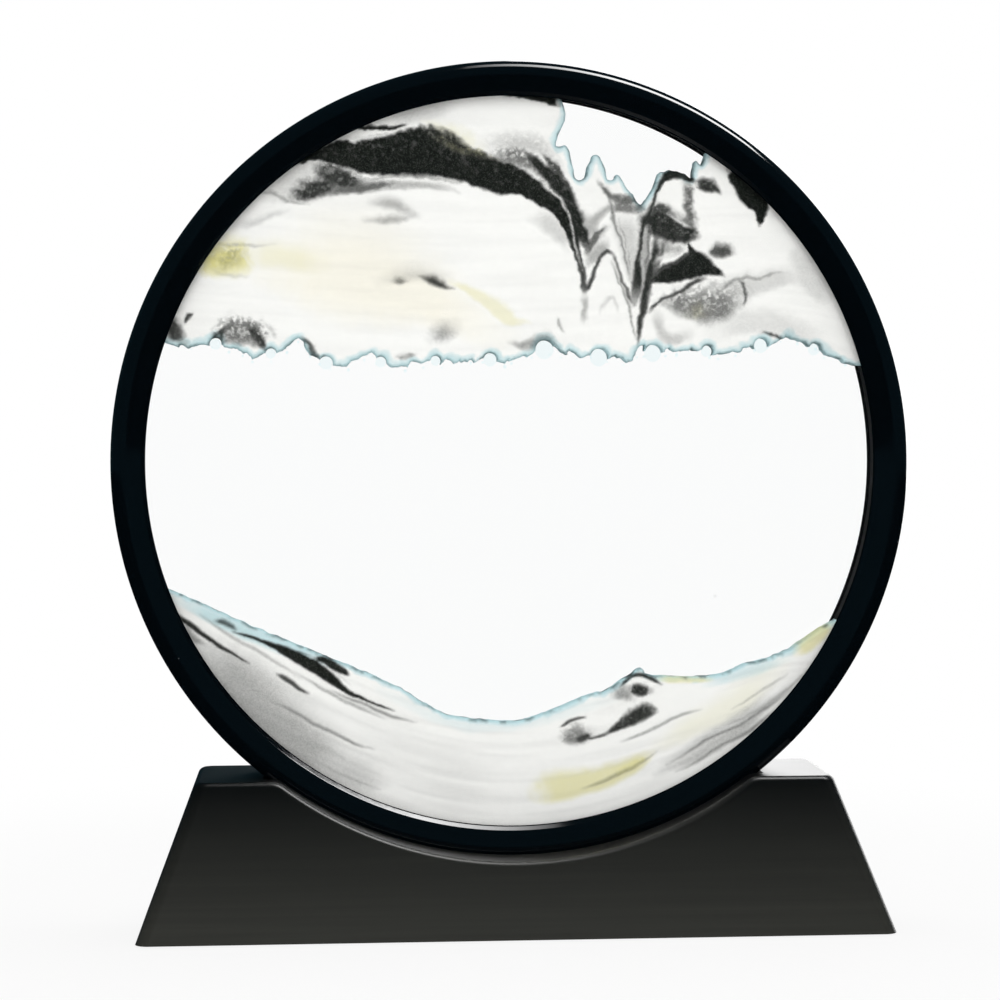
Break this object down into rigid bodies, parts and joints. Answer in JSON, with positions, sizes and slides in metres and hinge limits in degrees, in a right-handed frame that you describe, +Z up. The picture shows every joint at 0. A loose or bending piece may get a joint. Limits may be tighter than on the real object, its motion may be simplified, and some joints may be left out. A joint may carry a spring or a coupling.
{
  "type": "moving sand art frame",
  "caption": "Round black frame with sand, liquid and air bubbles sealed between two glass discs, turning in the curved groove of a cradle base.",
  "frame": {"origin": "on the table, under the middle of the base", "axes": "+Z up through the middle of the disc, +X to the right seen from the front, the front faces -Y; the frame turns about Y"},
  "size_m": [0.18, 0.05, 0.195],
  "materials": {
    "ring_plastic": "gloss",
    "clear_glass": "polished",
    "gasket_foam": "matte",
    "silicone": "satin",
    "clear_liquid": "polished",
    "air": "polished",
    "white_sand": "matte",
    "black_sand": "matte",
    "gold_sand": "satin",
    "base_plastic": "satin",
    "zinc_steel": "satin",
    "foot_rubber": "matte"
  },
  "bodies": {
    "base": {"base_shell": "base_plastic", "base_cover": "base_plastic", "base_screw_1": "zinc_steel", "base_screw_2": "zinc_steel", "base_screw_3": "zinc_steel", "base_screw_4": "zinc_steel", "foot_front_left": "foot_rubber", "foot_front_right": "foot_rubber", "foot_rear_left": "foot_rubber", "foot_rear_right": "foot_rubber"},
    "frame": {"front_ring": "ring_plastic", "rear_ring": "ring_plastic", "front_gasket": "gasket_foam", "rear_gasket": "gasket_foam", "front_glass": "clear_glass", "rear_glass": "clear_glass", "seal_ring": "silicone", "fill_plug": "silicone", "liquid": "clear_liquid", "liquid_in_notch": "clear_liquid", "white_sand_upper": "white_sand", "black_sand_band": "black_sand", "black_sand_wedge": "black_sand", "black_sand_peak": "black_sand", "gold_sand_patch": "gold_sand", "gold_sand_streak": "gold_sand", "white_sand_lower": "white_sand", "black_sand_slope": "black_sand", "black_sand_mound": "black_sand", "gold_sand_bank": "gold_sand", "air_bubble_01": "air", "air_bubble_02": "air", "air_bubble_03": "air", "air_bubble_04": "air", "air_bubble_05": "air", "air_bubble_06": "air", "air_bubble_07": "air", "air_bubble_08": "air", "air_bubble_09": "air", "air_bubble_10": "air", "air_bubble_11": "air", "air_bubble_12": "air"}
  },
  "joints": [
    {"name": "frame_turn", "type": "hinge", "parent": "base", "child": "frame", "pos_m": [0, 0, 0.105], "axis": [0, 1, 0], "continuous": true}
  ]
}
